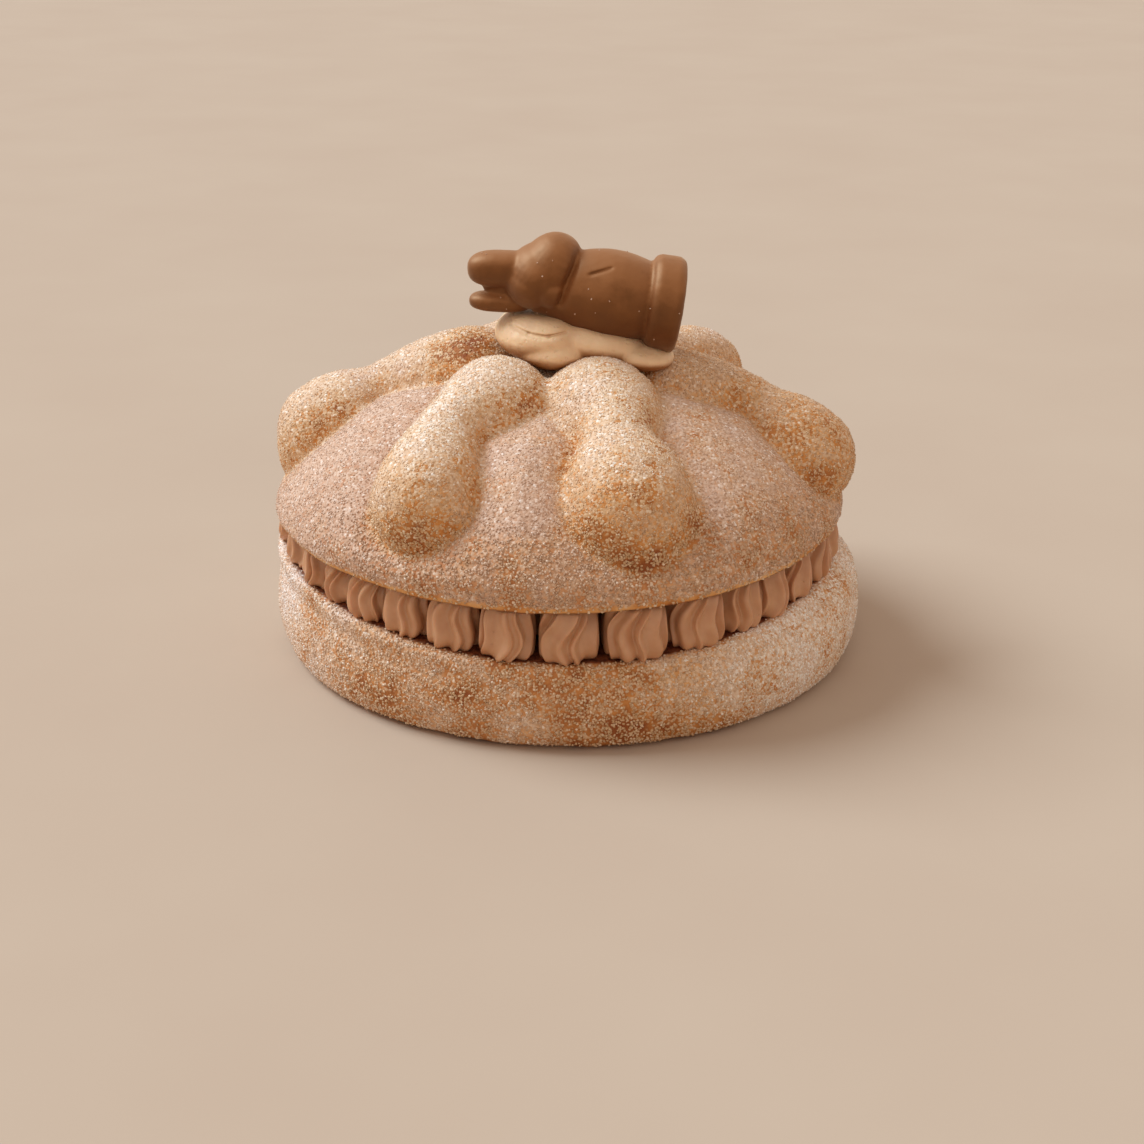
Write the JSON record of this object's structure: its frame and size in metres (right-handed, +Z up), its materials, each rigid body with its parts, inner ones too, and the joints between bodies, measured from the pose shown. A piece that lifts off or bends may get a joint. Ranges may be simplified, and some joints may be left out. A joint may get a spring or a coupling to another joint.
{
  "type": "filled pan de muerto",
  "caption": "Round sugared sweet loaf with raised dough bones on its lid, filled with piped cream and topped with a moulded chocolate rabbit.",
  "frame": {"origin": "middle of the foot, on the loaf's axis, on the surface it rests on", "axes": "+Z up, -Y the front that the picture shows, +X to the right along the rabbit towards its foot"},
  "size_m": [0.1466, 0.1462, 0.1017],
  "materials": {
    "sugared_crust": "golden baked crust under a thick coat of fine white sugar",
    "piped_cream": "satin pale coffee cream",
    "coffee_cream": "smooth matt coffee cream with small pits",
    "milk_chocolate": "satin moulded milk chocolate"
  },
  "bodies": {
    "root": {"base_bread": "sugared_crust", "cream_layer": "piped_cream", "cream_star_01": "piped_cream", "cream_star_02": "piped_cream", "cream_star_03": "piped_cream", "cream_star_04": "piped_cream", "cream_star_05": "piped_cream", "cream_star_06": "piped_cream", "cream_star_07": "piped_cream", "cream_star_08": "piped_cream", "cream_star_09": "piped_cream", "cream_star_10": "piped_cream", "cream_star_11": "piped_cream", "cream_star_12": "piped_cream", "cream_star_13": "piped_cream", "cream_star_14": "piped_cream", "cream_star_15": "piped_cream", "cream_star_16": "piped_cream", "cream_star_17": "piped_cream", "cream_star_18": "piped_cream", "cream_star_19": "piped_cream", "cream_star_20": "piped_cream", "cream_star_21": "piped_cream", "cream_star_22": "piped_cream", "cream_star_23": "piped_cream", "cream_star_24": "piped_cream", "cream_star_25": "piped_cream", "cream_star_26": "piped_cream", "cream_star_27": "piped_cream", "cream_star_28": "piped_cream", "cream_star_29": "piped_cream", "cream_star_30": "piped_cream", "cream_star_31": "piped_cream", "cream_star_32": "piped_cream", "cream_star_33": "piped_cream", "lid_bread": "sugared_crust", "cream_dab": "coffee_cream", "chocolate_rabbit": "milk_chocolate"}
  },
  "joints": []
}
